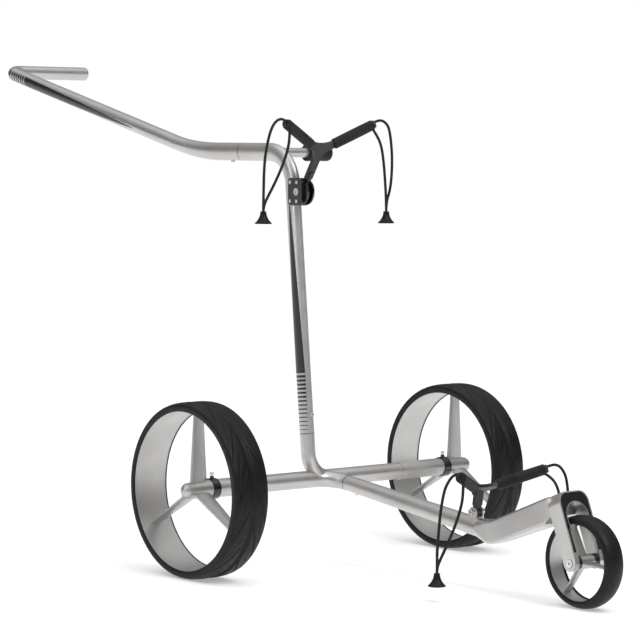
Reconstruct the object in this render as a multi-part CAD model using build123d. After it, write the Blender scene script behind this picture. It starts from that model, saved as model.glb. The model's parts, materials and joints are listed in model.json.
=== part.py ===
from build123d import *
import math
import os

# Three-wheel golf push cart: a cranked tube frame, two large rear wheels, a small front wheel
# in a fork, a one-sided handle, and two folding bag yokes with elastic cord loops.
# Millimetres. +X is the cart's left, -Y is forward (towards the front wheel), +Z is up.
# Everything is drawn about the middle of the rear axle line and moved to the origin at export.

os.makedirs("parts", exist_ok=True)

# ---------------------------------------------------------------- driving dimensions
WHEEL_R = 150.0            # rear wheel radius
WHEEL_W = 70.0             # rear tyre width
HALF_TRACK = 295.0         # middle of a rear wheel from the cart's centre plane
RIM_R = 135.9              # bare inside of a rear rim
FRONT_R = 75.0             # front wheel radius
FRONT_W = 38.0             # front tyre width
FRONT_RIM_R = 63.4         # bare inside of the front rim
WHEELBASE = 623.0          # rear axle to front axle

AXLE_TUBE_R = 15.0         # rear axle tube
SEAM_R = 13.5              # round tube at the front plug-in seam
FRONT_TUBE_R = 15.8        # front tube at its forward end
WALL = 1.6                 # tube wall
OVAL_A = 10.3              # mast half-width across the cart
OVAL_B = 16.0              # mast half-depth in the plane of its bends
HANDLE_R = 13.2            # round handle tube
BEND_R = 45.0              # axle tube bends
MAST_X = -49.0             # mast and handle plane
MAST_LEAN = 5.7            # mast leans back, degrees
FRONT_DROP = 7.0           # front tube falls towards the front, degrees
MAST_TOP = 720.5           # height of the level run at the top of the mast
TOP_BEND_R = 62.0
HANDLE_RISE = 14.0         # handle climbs towards the grip, degrees
GRIP_Y = 935.0             # grip bar behind the axle
GRIP_END_X = 130.0         # free end of the grip bar
GRIP_BEND_R = 24.0

FIT = 0.05                 # running fit of shafts and pins
GAP = 0.3                  # clearance between moving pieces

LENGTH_BACK = GRIP_Y + HANDLE_R
LENGTH_FRONT = WHEELBASE + FRONT_R
SHIFT_Y = (LENGTH_FRONT - LENGTH_BACK) / 2
AXLE_Z = WHEEL_R

placed = {}


def put(name, shape):
    """Write one piece as its own file, in the final frame."""
    solids = list(shape.solids())
    body = solids[0] if len(solids) == 1 else Compound(children=solids)
    body = Pos(0, SHIFT_Y, 0) * body
    export_step(body, f"parts/{name}.step")
    placed[name] = sum(s.volume for s in solids)


def largest(shape):
    return max(shape.solids(), key=lambda s: s.volume)


def rod(start, end, radius):
    """Round bar between two points."""
    axis = Vector(*end) - Vector(*start)
    return extrude(Plane(origin=start, z_dir=axis) * Circle(radius), axis.length)


def tube_ring(start, end, radius, bore):
    return rod(start, end, radius) - rod(start, end, bore)


def x_rod(x0, x1, y, z, radius):
    return rod((x0, y, z), (x1, y, z), radius)


def mirrored(shape):
    return mirror(shape, about=Plane.YZ)


def swept_loft(path, section, count):
    """Loft through sections drawn square to a path; section(t) gives each face."""
    faces = []
    for index in range(count):
        t = index / (count - 1)
        faces.append(section(path, t))
    return loft(faces)


# ---------------------------------------------------------------- frame axes
lean = math.radians(MAST_LEAN)
drop = math.radians(FRONT_DROP)
rise = math.radians(HANDLE_RISE)
UP_MAST = Vector(0, math.sin(lean), math.cos(lean))
FORWARD = Vector(0, -math.cos(drop), -math.sin(drop))
MAST_FOOT = Vector(MAST_X, 0, AXLE_Z)
AXLE_MID = Vector(0, 0, AXLE_Z)
COLLAR_START = 258.0       # inner face of an axle collar
COLLAR_END = 274.0
SLEEVE_START = 156.0       # thicker end sleeve of the axle tube


def on_mast(height):
    """Point on the mast's centre line, at a distance along it from the axle."""
    return MAST_FOOT + UP_MAST * height


def on_front(distance):
    """Point on the front tube's centre line, at a distance from the axle."""
    return AXLE_MID + FORWARD * distance


# ---------------------------------------------------------------- axle halves
# Right half: along the axle, then round into the front tube.
right_bend_start = Vector(-BEND_R, 0, AXLE_Z)
right_bend_end = on_front(BEND_R)
right_arc = TangentArc(right_bend_start, right_bend_end, tangent=(1, 0, 0))


def right_section(inset):
    def section(path, t):
        radius = AXLE_TUBE_R + (SEAM_R - AXLE_TUBE_R) * t - inset
        return Plane(origin=path @ t, z_dir=path % t) * Circle(radius)
    return section


def right_half(inset):
    straight = x_rod(-COLLAR_START, -BEND_R, 0, AXLE_Z, AXLE_TUBE_R - inset)
    return straight + swept_loft(right_arc, right_section(inset), 7)


right_outer = right_half(0)
axle_front_tube = largest(right_outer - right_half(WALL))

# Left half: along the axle, then up into the mast, changing from round to oval.
LEFT_SEAM = 80.0           # mast seam above the axle line
left_bend_start = Vector(MAST_X + BEND_R, 0, AXLE_Z)
left_bend_end = on_mast(BEND_R)
left_arc = TangentArc(left_bend_start, left_bend_end, tangent=(-1, 0, 0))


def left_section(inset):
    def section(path, t):
        tangent = path % t
        across = Vector(0, 1, 0) - tangent * tangent.Y
        half_in_bend = AXLE_TUBE_R + (OVAL_A - AXLE_TUBE_R) * t - inset
        half_across = AXLE_TUBE_R + (OVAL_B - AXLE_TUBE_R) * t - inset
        plane = Plane(origin=path @ t, x_dir=across, z_dir=tangent)
        return plane * Ellipse(half_across, half_in_bend)
    return section


def oval(origin, direction, inset):
    """Oval section square to a direction in the mast's plane, wide way in that plane."""
    across = Vector(1, 0, 0)
    plane = Plane(origin=origin, x_dir=across, z_dir=direction)
    return plane * Ellipse(OVAL_A - inset, OVAL_B - inset)


def left_half(inset):
    straight = x_rod(left_bend_start.X, COLLAR_START, 0, AXLE_Z, AXLE_TUBE_R - inset)
    bend = swept_loft(left_arc, left_section(inset), 7)
    stub = extrude(oval(left_bend_end, UP_MAST, inset), LEFT_SEAM - BEND_R)
    return straight + bend + stub


axle_mast_tube = largest((left_half(0) - left_half(WALL)) - right_outer)

SLEEVE_R = AXLE_TUBE_R + 0.9
left_sleeve = tube_ring(
    (SLEEVE_START, 0, AXLE_Z), (COLLAR_START, 0, AXLE_Z), SLEEVE_R, AXLE_TUBE_R
)
put("axle_end_sleeves", left_sleeve + mirrored(left_sleeve))

# ---------------------------------------------------------------- plug-in spigots and buttons
BUTTON_R = 3.4
BUTTON_PROUD = 3.0
BUTTON_FLANGE_R = 4.2
SPIGOT_WALL = 2.0
SPIGOT_PLAY = 0.1


def button(surface_point, outward, inward_depth):
    """Sprung locking button: a domed post with a flange behind the spigot wall."""
    out = Vector(*outward).normalized()
    surface = Vector(*surface_point)
    tip = surface + out * (BUTTON_PROUD - 1.0)
    post = rod(tuple(surface - out * inward_depth), tuple(tip), BUTTON_R)
    dome_plane = Plane(origin=tip, z_dir=out)
    dome = dome_plane * Cone(
        BUTTON_R, BUTTON_R - 1.0, 1.0, align=(Align.CENTER, Align.CENTER, Align.MIN)
    )
    flange_far = surface - out * (inward_depth + 1.5)
    flange = rod(tuple(flange_far), tuple(surface - out * inward_depth), BUTTON_FLANGE_R)
    return post + dome + flange


def button_hole(surface_point, outward, depth):
    out = Vector(*outward).normalized()
    surface = Vector(*surface_point)
    return rod(tuple(surface - out * depth), tuple(surface + out * 2), BUTTON_R + FIT)


# Mast joint: spigot inside the oval, button on the front face.
MAST_BUTTON_AT = 113.0
mast_front = Vector(0, -math.cos(lean), math.sin(lean))
mast_button_point = on_mast(MAST_BUTTON_AT) + mast_front * OVAL_B
spigot_inset = WALL + SPIGOT_PLAY
HOLE_DEPTH = 6.0
FLANGE_SEAT = 7.5          # button flange sits this far below the tube's surface
mast_hole = button_hole(mast_button_point, mast_front, HOLE_DEPTH)
mast_spigot = extrude(oval(on_mast(55), UP_MAST, spigot_inset), 75) - extrude(
    oval(on_mast(55), UP_MAST, spigot_inset + SPIGOT_WALL), 75
)
put("mast_spigot", mast_spigot - mast_hole)
put("mast_button", button(mast_button_point, mast_front, FLANGE_SEAT))

# Front joint: round spigot, button underneath.
FRONT_SEAM = BEND_R + 2.0
FRONT_END = 388.0
FRONT_BUTTON_AT = 72.0
front_under = Vector(0, math.sin(drop), -math.cos(drop))


def front_radius(distance):
    share = (distance - FRONT_SEAM) / (FRONT_END - FRONT_SEAM)
    return SEAM_R + (FRONT_TUBE_R - SEAM_R) * share


def front_cone(inset):
    start = Plane(origin=on_front(FRONT_SEAM), z_dir=FORWARD)
    end = Plane(origin=on_front(FRONT_END), z_dir=FORWARD)
    return loft([start * Circle(SEAM_R - inset), end * Circle(FRONT_TUBE_R - inset)])


front_button_point = on_front(FRONT_BUTTON_AT) + front_under * front_radius(FRONT_BUTTON_AT)
front_hole = button_hole(front_button_point, front_under, HOLE_DEPTH)
front_spigot_r = SEAM_R - spigot_inset
front_spigot = tube_ring(
    tuple(on_front(BEND_R)), tuple(on_front(100)), front_spigot_r, front_spigot_r - SPIGOT_WALL
)
put("front_spigot", front_spigot - front_hole)
put("front_button", button(front_button_point, front_under, FLANGE_SEAT))
front_tube = (front_cone(0) - front_cone(WALL)) - front_hole
end_ring = tube_ring(
    tuple(right_bend_end), tuple(on_front(FRONT_SEAM)), SEAM_R, SEAM_R - WALL
)
axle_front_tube = axle_front_tube + end_ring

# ---------------------------------------------------------------- mast and handle
corner_mast = on_mast((MAST_TOP - AXLE_Z) / math.cos(lean))
HANDLE_SEAM_Y = 195.0
BEND_Y = 326.7             # where the level run turns up into the handle
handle_corner = Vector(MAST_X, BEND_Y, MAST_TOP)
GRIP_Z = MAST_TOP + (GRIP_Y - BEND_Y) * math.tan(rise)
mast_path = FilletPolyline(
    on_mast(LEFT_SEAM), corner_mast, (MAST_X, HANDLE_SEAM_Y, MAST_TOP), radius=TOP_BEND_R
)


def mast_solid(inset):
    return sweep(oval(on_mast(LEFT_SEAM), UP_MAST, inset), path=mast_path)


HANDLE_BEND_R = 560.0
HANDLE_MORPH = 75.0        # length over which the oval becomes round, either side of the bend
morph_start = Vector(MAST_X, BEND_Y - HANDLE_MORPH, MAST_TOP)
handle_dir = Vector(0, math.cos(rise), math.sin(rise))
morph_end = handle_corner + handle_dir * HANDLE_MORPH
morph_path = FilletPolyline(morph_start, handle_corner, morph_end, radius=HANDLE_BEND_R)
grip_corner = Vector(MAST_X, GRIP_Y, GRIP_Z)
grip_end = Vector(GRIP_END_X, GRIP_Y, GRIP_Z)
grip_path = FilletPolyline(morph_end, grip_corner, grip_end, radius=GRIP_BEND_R)


def morph_section(inset):
    def section(path, t):
        ease = t * t * (3 - 2 * t)
        half_x = OVAL_A + (HANDLE_R - OVAL_A) * ease - inset
        half_y = OVAL_B + (HANDLE_R - OVAL_B) * ease - inset
        plane = Plane(origin=path @ t, x_dir=(1, 0, 0), z_dir=path % t)
        return plane * Ellipse(half_x, half_y)
    return section


def handle_solid(inset):
    level = extrude(
        oval((MAST_X, HANDLE_SEAM_Y, MAST_TOP), (0, 1, 0), inset),
        morph_start.Y - HANDLE_SEAM_Y,
    )
    morph = swept_loft(morph_path, morph_section(inset), 9)
    end_plane = Plane(origin=morph_end, z_dir=handle_dir)
    grip = sweep(end_plane * Circle(HANDLE_R - inset), path=grip_path)
    return level + morph + grip


handle_under = Vector(0, 0, -1)
handle_button_point = Vector(MAST_X, HANDLE_SEAM_Y + 25, MAST_TOP - OVAL_B)
handle_hole = button_hole(handle_button_point, handle_under, HOLE_DEPTH)
SPIGOT_IN_MAST = 35.0
handle_spigot = extrude(
    oval((MAST_X, HANDLE_SEAM_Y - SPIGOT_IN_MAST, MAST_TOP), (0, 1, 0), spigot_inset), 80
) - extrude(
    oval(
        (MAST_X, HANDLE_SEAM_Y - SPIGOT_IN_MAST, MAST_TOP),
        (0, 1, 0),
        spigot_inset + SPIGOT_WALL,
    ),
    80,
)
put("handle_spigot", handle_spigot - handle_hole)
put("handle_button", button(handle_button_point, handle_under, FLANGE_SEAT))
put("handle_tube", largest(handle_solid(0) - handle_solid(WALL) - handle_hole))

CAP_DOME = 3.0
cap_plane = Plane(origin=grip_end, z_dir=(1, 0, 0))
cap_plug = cap_plane * Cylinder(
    HANDLE_R - WALL - SPIGOT_PLAY, 14, align=(Align.CENTER, Align.CENTER, Align.MAX)
)
cap_disc = cap_plane * Cylinder(
    HANDLE_R, CAP_DOME, align=(Align.CENTER, Align.CENTER, Align.MIN)
)
cap_disc = fillet(cap_disc.edges().sort_by(Axis.X)[-1:], CAP_DOME - 0.4)
put("grip_cap", cap_plug + cap_disc)

# ---------------------------------------------------------------- accessory peg
PEG_Y = 106.0
PEG_Z = MAST_TOP - 1.0
PEG_ROD_R = 8.6
PEG_SLEEVE_R = 15.0
PEG_SLEEVE_X = 27.0
PEG_END_X = 79.0
PEG_ROUND = 5.0            # rounded end of the sleeve
PEG_REACH = 40.0           # the rod's length inside the sleeve
mast_tube = mast_solid(0) - mast_solid(WALL) - mast_hole
peg_rod = x_rod(MAST_X, PEG_SLEEVE_X + PEG_REACH, PEG_Y, PEG_Z, PEG_ROD_R)
peg_rod = largest(peg_rod - mast_solid(0))
peg_sleeve = x_rod(PEG_SLEEVE_X, PEG_END_X, PEG_Y, PEG_Z, PEG_SLEEVE_R)
peg_sleeve = fillet(peg_sleeve.edges().sort_by(Axis.X)[-1:], PEG_ROUND)
peg_sleeve = peg_sleeve - x_rod(
    PEG_SLEEVE_X, PEG_SLEEVE_X + PEG_REACH, PEG_Y, PEG_Z, PEG_ROD_R
)
put("peg_rod", peg_rod)
put("peg_sleeve", peg_sleeve)

# ---------------------------------------------------------------- axle ends
PIN_R = 6.0                # wheel pins
COLLAR_R = 18.0
HUB_GAP = 0.4
PIN_END = HALF_TRACK + 24
PIN_IN = 20.0              # a wheel pin's length inside the axle tube
PLUG = 26.0                # a collar's plug inside the axle tube
POST_R = 2.2
POST_X = 266.0             # release pin, above the collar
POST_FOOT = 9.5            # its foot above the axle line
POST_TOP = 27.5
POST_HEAD_R = 3.9
POST_HEAD_H = 3.0
GUIDE_R = 3.5              # black guide around the release pin
GUIDE_TOP = 21.8
left_collar = x_rod(COLLAR_START, COLLAR_END - HUB_GAP, 0, AXLE_Z, COLLAR_R)
left_collar = fillet(left_collar.edges(), 1.2)
left_collar = left_collar + x_rod(
    COLLAR_START - PLUG, COLLAR_START + 1, 0, AXLE_Z, AXLE_TUBE_R - WALL - SPIGOT_PLAY
)
left_collar = left_collar + rod(
    (POST_X, 0, AXLE_Z + POST_FOOT), (POST_X, 0, AXLE_Z + GUIDE_TOP), GUIDE_R
)
left_collar = left_collar - x_rod(COLLAR_START - PLUG, COLLAR_END, 0, AXLE_Z, PIN_R)
post_hole = rod(
    (POST_X, 0, AXLE_Z + POST_FOOT - 2.5), (POST_X, 0, AXLE_Z + POST_TOP), POST_R + FIT
)
left_collar = left_collar - post_hole
left_pin = x_rod(COLLAR_START - PIN_IN, PIN_END, 0, AXLE_Z, PIN_R)
left_pin = chamfer(left_pin.edges().sort_by(Axis.X)[-1:], 1.0)
post_head = rod(
    (POST_X, 0, AXLE_Z + POST_TOP - POST_HEAD_H), (POST_X, 0, AXLE_Z + POST_TOP), POST_HEAD_R
)
post_head = chamfer(post_head.edges().sort_by(Axis.Z)[-1:], 0.7)
left_post = post_head + rod(
    (POST_X, 0, AXLE_Z + POST_FOOT), (POST_X, 0, AXLE_Z + POST_TOP - 1), POST_R
)
for side, shape_side in (("left", lambda s: s), ("right", mirrored)):
    put(f"axle_collar_{side}", shape_side(left_collar))
    put(f"wheel_pin_{side}", shape_side(left_pin))
    put(f"release_pin_{side}", shape_side(left_post))


# ---------------------------------------------------------------- wheels
def revolved(points, centre_x, centre_y, centre_z):
    """Turn an (along axle, radius) outline about the wheel's axle."""
    outline = Polyline(*[(x, r) for x, r in points], close=True)
    turned = revolve(make_face(outline), axis=Axis.X)
    return Pos(centre_x, centre_y, centre_z) * turned


def tyre_solid(radius, width, seat, inner, crown, lip):
    """Tyre: rounded crown outside, a seat for the rim and a lip down each rim edge."""
    half = width / 2
    outline = (
        Line((-half, inner), (-half, radius - crown * 1.7))
        + ThreePointArc(
            (-half, radius - crown * 1.7),
            (-half + crown * 0.75, radius - crown * 0.62),
            (-half + crown * 2.2, radius - crown * 0.12),
        )
        + ThreePointArc(
            (-half + crown * 2.2, radius - crown * 0.12),
            (0, radius),
            (half - crown * 2.2, radius - crown * 0.12),
        )
        + ThreePointArc(
            (half - crown * 2.2, radius - crown * 0.12),
            (half - crown * 0.75, radius - crown * 0.62),
            (half, radius - crown * 1.7),
        )
        + Polyline(
            (half, radius - crown * 1.7),
            (half, inner),
            (half - lip, inner),
            (half - lip, seat),
            (-half + lip, seat),
            (-half + lip, inner),
            (-half, inner),
        )
    )
    return revolve(make_face(outline), axis=Axis.X)


def rim_solid(width, seat, inner, lip):
    half = width / 2 - lip
    return revolve(
        make_face(Polyline((-half, inner), (half, inner), (half, seat), (-half, seat), close=True)),
        axis=Axis.X,
    )


def spoke(start_r, end_r, root, tip, sink):
    """Blade spoke along +Z: lens section, wider along the axle than it is thick."""
    faces = []
    for radius, (half_wide, half_thick) in ((start_r, root), (end_r + sink, tip)):
        faces.append(Plane(origin=(0, 0, radius), z_dir=(0, 0, 1)) * Ellipse(half_wide, half_thick))
    return loft(faces)


def spider_solid(hub, start_r, rim_inner, root, tip, angles):
    """Hub with its blade spokes trimmed to the inside of the rim."""
    blades = hub
    for angle in angles:
        blades = blades + Rot(angle, 0, 0) * spoke(start_r, rim_inner, root, tip, 2.0)
    bound = Rot(0, 90, 0) * Cylinder(rim_inner, 200)
    return blades & bound


# Rear wheel, drawn about its own centre with +X outward.
BUSH_R = 8.5
BUSH_LEN = 12.0
HUB_IN = COLLAR_END - HALF_TRACK
HUB_OUT = 24.5
HUB_IN_R = 16.5
HUB_OUT_R = 13.2
DOME = 9.0
REAR_SEAT = RIM_R + 3.0
hub_outline = (
    Polyline((HUB_OUT, HUB_OUT_R), (HUB_IN, HUB_IN_R), (HUB_IN, 0), (HUB_OUT + DOME, 0))
    + ThreePointArc(
        (HUB_OUT + DOME, 0), (HUB_OUT + DOME * 0.72, HUB_OUT_R * 0.66), (HUB_OUT, HUB_OUT_R)
    )
)
rear_hub = revolve(make_face(hub_outline), axis=Axis.X)
REAR_SPOKES = (0, 120, 240)
REAR_LIP = 2.0             # tyre lip over each edge of the rim
rear_spider = spider_solid(rear_hub, 9.0, RIM_R, (18.0, 4.4), (10.2, 2.8), REAR_SPOKES)
bore_end = PIN_END - HALF_TRACK + 1.0
rear_spider = rear_spider - x_rod(HUB_IN, bore_end, 0, 0, PIN_R + 1.2)
bush_places = (HUB_IN, bore_end - BUSH_LEN - 2.0)
bushes = None
for place in bush_places:
    rear_spider = rear_spider - x_rod(place, place + BUSH_LEN, 0, 0, BUSH_R)
    bush = tube_ring((place, 0, 0), (place + BUSH_LEN, 0, 0), BUSH_R, PIN_R + FIT)
    bushes = bush if bushes is None else bushes + bush
rear_tyre = tyre_solid(WHEEL_R, WHEEL_W, REAR_SEAT, RIM_R + 0.6, 3.4, REAR_LIP)
rear_rim = rim_solid(WHEEL_W, REAR_SEAT, RIM_R, REAR_LIP)
for side, sign in (("left", 1), ("right", -1)):
    def to_wheel(shape, sign=sign):
        outward = shape if sign > 0 else mirrored(shape)
        return Pos(sign * HALF_TRACK, 0, AXLE_Z) * outward

    put(f"rear_tyre_{side}", to_wheel(rear_tyre))
    put(f"rear_rim_{side}", to_wheel(rear_rim))
    put(f"rear_spider_{side}", to_wheel(rear_spider))
    put(f"rear_bushes_{side}", to_wheel(bushes))

# ---------------------------------------------------------------- front wheel and fork
FORK_LEAN = 22.0           # legs lean forward towards the axle, degrees
FORK_HALF = 33.0           # outside of a leg
LEG_T = 9.5                # leg thickness
LEG_FRONT = 14.0           # leg edges in front of and behind the axle line
LEG_BACK = 13.0
FORK_TOP = 115.0           # top of the fork above the axle, along the legs
CROWN_R = 20.0             # rounded shoulders of the crown
ARCH_TOP = 96.0            # top of the round arch between the legs
FRONT_BOLT_R = 4.0
FRONT_HUB_R = 11.5
FRONT_HUB_HALF = 14.5
FRONT_LIP = 3.6
fork_frame = Pos(0, -WHEELBASE, FRONT_R) * Rot(-FORK_LEAN, 0, 0)

front_hub = x_rod(-FRONT_HUB_HALF, FRONT_HUB_HALF, 0, 0, FRONT_HUB_R)
FRONT_SPOKES = (95, 215, 335)
front_seat = FRONT_RIM_R + 2.4
front_spider = spider_solid(front_hub, 6.0, FRONT_RIM_R, (10.5, 3.4), (7.5, 2.6), FRONT_SPOKES)
front_spider = front_spider - x_rod(-40, 40, 0, 0, FRONT_BOLT_R + FIT)
front_centre = Pos(0, -WHEELBASE, FRONT_R)
front_tyre = tyre_solid(FRONT_R, FRONT_W, front_seat, FRONT_RIM_R + 0.5, 4.2, FRONT_LIP)
put("front_tyre", front_centre * front_tyre)
put("front_rim", front_centre * rim_solid(FRONT_W, front_seat, FRONT_RIM_R, FRONT_LIP))
put("front_spider", front_centre * front_spider)

# Fork seen from the side: straight legs with a round foot.
leg_profile = Plane.YZ * (
    Pos((LEG_BACK - LEG_FRONT) / 2, FORK_TOP / 2)
    * Rectangle(LEG_BACK + LEG_FRONT, FORK_TOP)
    + Circle((LEG_BACK + LEG_FRONT) / 2 - 0.5)
)
blank = extrude(leg_profile, FORK_HALF, both=True)
crown_front = blank.edges().filter_by(Axis.X).group_by(Axis.Z)[-1].sort_by(Axis.Y)[:1]
blank = fillet(crown_front, 4.0)
leg_inside = FORK_HALF - LEG_T


def fork_window(half, top, foot, depth):
    """Round-topped opening, square to the legs, from the foot up to the arch."""
    shape = Pos(0, (top - half + foot) / 2) * Rectangle(2 * half, top - half - foot)
    shape = shape + Pos(0, top - half) * Circle(half)
    return extrude(Plane.XZ * shape, depth, both=True)


def crown_outline(inset, foot, depth):
    """Outside of the fork from the front, shoulders rounded, set in from the edge."""
    half = FORK_HALF - inset
    top = FORK_TOP - inset
    shape = Pos(0, (top + foot) / 2) * Rectangle(2 * half, top - foot)
    shape = fillet(shape.vertices().group_by(Axis.Y)[-1], CROWN_R - inset)
    return extrude(Plane.XZ * shape, depth, both=True)


fork_solid = blank & crown_outline(0, -40, 60)
fork_solid = fork_solid - fork_window(leg_inside, ARCH_TOP, -60, 60)
for end in (-1, 1):
    fork_solid = fork_solid - x_rod(end * 20, end * 60, 0, 0, FRONT_BOLT_R)
    fork_solid = fork_solid - x_rod(end * (FORK_HALF - 3.0), end * 60, 0, 0, 7.5)

INSERT_DEPTH = 2.5
INSERT_RIM = 2.6           # silver border left around the insert
INSERT_FOOT = 14.0
INSERT_LAND = 1.2          # silver edge left around the arch
insert = crown_outline(INSERT_RIM, INSERT_FOOT, 60) - fork_window(
    leg_inside + INSERT_LAND, ARCH_TOP + INSERT_LAND, -60, 80
)
insert_slab = Pos(0, -LEG_FRONT - 10 + INSERT_DEPTH, FORK_TOP / 2) * Box(100, 20, 200)
insert = largest(blank & insert & insert_slab)
put("fork_insert", fork_frame * insert)
put("fork", fork_frame * (fork_solid - insert))

SPACER_R = 11.8
spacer = tube_ring((FRONT_HUB_HALF + GAP, 0, 0), (leg_inside, 0, 0), SPACER_R, FRONT_BOLT_R)
bolt = x_rod(-FORK_HALF + 0.5, FORK_HALF - 3.0, 0, 0, FRONT_BOLT_R)
bolt_head = x_rod(-FORK_HALF + 3.0, -FORK_HALF - 0.8, 0, 0, 6.8)
bolt_socket = rod((-FORK_HALF - 1.0, 0, 0), (-FORK_HALF + 2.0, 0, 0), 2.6)
bolt = (bolt + bolt_head) - bolt_socket
nut = x_rod(FORK_HALF - 3.0, FORK_HALF + 0.8, 0, 0, 6.8)
put("front_axle_bolt", front_centre * (bolt + nut))
put("front_spacers", front_centre * (spacer + mirrored(spacer)))

# Neck: the round tube is mitred to a flat-sided arm that rises to the back of the fork.
NECK_START = FRONT_END - 3.0
NECK_HIGH = 40.0           # height of the arm where it meets the fork
ELBOW_W = 36.0             # width and height of the arm at the elbow
ELBOW_H = 38.0
ELBOW = Vector(0, -39.0, -4.0)   # elbow from the end of the round tube
NECK_EDGE = 4.0            # rounded edges of the arm
ELBOW_SOFT = 7.0           # the corner is cut back this far either side of the elbow
fork_back = fork_frame * Pos(0, LEG_BACK, FORK_TOP - NECK_HIGH / 2 - 1.5)
fork_back_point = fork_back.position
fork_lean = math.radians(FORK_LEAN)
back_normal = Vector(0, math.cos(fork_lean), -math.sin(fork_lean))
neck_start = on_front(NECK_START)
elbow = neck_start + ELBOW
arm_dir = (fork_back_point - elbow).normalized()
mitre = (FORWARD + arm_dir).normalized()
neck_stations = (
    (neck_start, FORWARD, 2 * FRONT_TUBE_R + 0.2, 2 * FRONT_TUBE_R + 0.2, FRONT_TUBE_R),
    (elbow - FORWARD * ELBOW_SOFT, (FORWARD + mitre).normalized(), ELBOW_W, ELBOW_H, NECK_EDGE),
    (elbow + arm_dir * ELBOW_SOFT, (arm_dir + mitre).normalized(), ELBOW_W, ELBOW_H, NECK_EDGE),
    (fork_back_point, back_normal * -1, 2 * FORK_HALF, NECK_HIGH, NECK_EDGE),
)
neck_faces = []
for origin, direction, wide, high, corner in neck_stations:
    station = Plane(origin=origin, x_dir=(1, 0, 0), z_dir=direction)
    neck_faces.append(station * RectangleRounded(wide, high, min(corner, high / 2 - 0.05)))
neck = loft(neck_faces, ruled=True)
wheel_clearance = front_centre * x_rod(-100, 100, 0, 0, FRONT_R + 7.0)
put("neck", largest(neck - wheel_clearance))
front_tube_end = rod(tuple(on_front(NECK_START)), tuple(on_front(FRONT_END + 1)), 40)
put("front_tube", largest(front_tube - front_tube_end))
put("axle_front_tube", axle_front_tube)
put("axle_mast_tube", axle_mast_tube)

# ---------------------------------------------------------------- upper clamp
PIVOT_Y = 24.4
PIVOT_Z = 652.0
CLAMP_R = 24.0
CHEEK_FAR = 7.4            # far face of the round cheeks from the mast plane
SLOT_HALF = 4.2            # slot for the yoke between the cheeks
EYE_R = 8.8                # yoke eye round the pivot bolt
PAD_OUT = 14.4
PAD_BACK = 23.3            # the pads reach this far behind the pivot
PAD_FRONT = 13.9
FAR_PAD_FRONT = -8.0       # the far pad stops short, behind the round cheek
PIVOT_BOLT_R = 4.0
pivot = Vector(MAST_X, PIVOT_Y, PIVOT_Z)
clamp_frame = Pos(MAST_X, PIVOT_Y, PIVOT_Z)


def clamp_x(x0, x1, y, z, radius):
    return x_rod(x0, x1, y, z, radius)


def pad(x0, x1, front):
    """Block beside the mast, from front to back about the pivot."""
    block = Pos((x0 + x1) / 2, (PAD_BACK - front) / 2, 0) * Box(
        abs(x1 - x0), PAD_BACK + front, 2 * CLAMP_R
    )
    return fillet(block.edges().filter_by(Axis.X), 5.0)


near_pad = pad(-PAD_OUT, 0, PAD_FRONT)
near_pad = chamfer(near_pad.faces().sort_by(Axis.X)[0].edges(), 1.0)
far_pad = pad(0, PAD_OUT, FAR_PAD_FRONT)
far_pad = chamfer(far_pad.faces().sort_by(Axis.X)[-1].edges(), 1.0)
cheeks = clamp_x(-SLOT_HALF - 4.0, CHEEK_FAR, 0, 0, CLAMP_R)
SLOT_BACK = 1.5            # the slot's depth behind the pivot, clear of the yoke's eye
slot = Pos(0, SLOT_BACK - 60, 0) * Box(2 * SLOT_HALF, 120, 4 * CLAMP_R)
slot = slot + clamp_x(-SLOT_HALF, SLOT_HALF, 0, 0, EYE_R + GAP)
clamp = (near_pad + far_pad + cheeks) - slot
clamp = clamp - clamp_x(-50, 50, 0, 0, PIVOT_BOLT_R)
HEAD_R = 6.6               # pivot bolt head
HEAD_SINK = 2.5
clamp = clamp - clamp_x(-PAD_OUT + HEAD_SINK, -50, 0, 0, HEAD_R + 0.6)
SCREW_R = 2.0
SCREW_HEAD_R = 3.2
SCREW_SINK = 1.2
SCREW_LEN = 7.0
screws = None
for y, z in [(y, z) for y in (-1.2, 16.6) for z in (-16.5, 16.5)]:
    shank = clamp_x(-PAD_OUT + SCREW_LEN, -PAD_OUT, y, z, SCREW_R)
    head = clamp_x(-PAD_OUT + SCREW_SINK, -PAD_OUT - 0.8, y, z, SCREW_HEAD_R)
    screw = shank + head
    clamp = clamp - screw
    screws = screw if screws is None else screws + screw
mast_full = mast_solid(0)
screws = (clamp_frame * screws) - mast_full
clamp = largest((clamp_frame * clamp) - mast_full)
put("clamp_body", clamp)
put("clamp_screws", screws)
pivot_bolt = clamp_x(-PAD_OUT + HEAD_SINK, CHEEK_FAR, 0, 0, PIVOT_BOLT_R)
pivot_head = clamp_x(-PAD_OUT - 1.0, -PAD_OUT + HEAD_SINK, 0, 0, HEAD_R)
pivot_socket = clamp_x(-PAD_OUT - 2.0, -PAD_OUT + 1.2, 0, 0, 2.4)
pivot_nut = clamp_x(CHEEK_FAR, CHEEK_FAR + 3.5, 0, 0, HEAD_R)
put("upper_pivot_bolt", clamp_frame * ((pivot_bolt + pivot_head + pivot_nut) - pivot_socket))
put("mast_tube", mast_tube)

# ---------------------------------------------------------------- yokes
ARM_SPREAD_UPPER = 100.0
ARM_SPREAD_LOWER = 99.0
BAR_T = 6.0                # yoke plate thickness
ARM_W = 13.0
SLEEVE_OUT_R = 9.2
SLEEVE_FROM = 0.26         # sleeve start and end along an arm
SLEEVE_TO = 0.97
TIP_R = 7.0
TIP_LEN = 9.0
CROTCH_FILLET = 55.0


def yoke_frame(origin, tilt):
    """Plane of a yoke plate: local X across the cart, local Y up the plate."""
    up = Vector(0, -math.sin(math.radians(tilt)), math.cos(math.radians(tilt)))
    return Plane(origin=origin, x_dir=(1, 0, 0), z_dir=Vector(1, 0, 0).cross(up))


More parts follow.
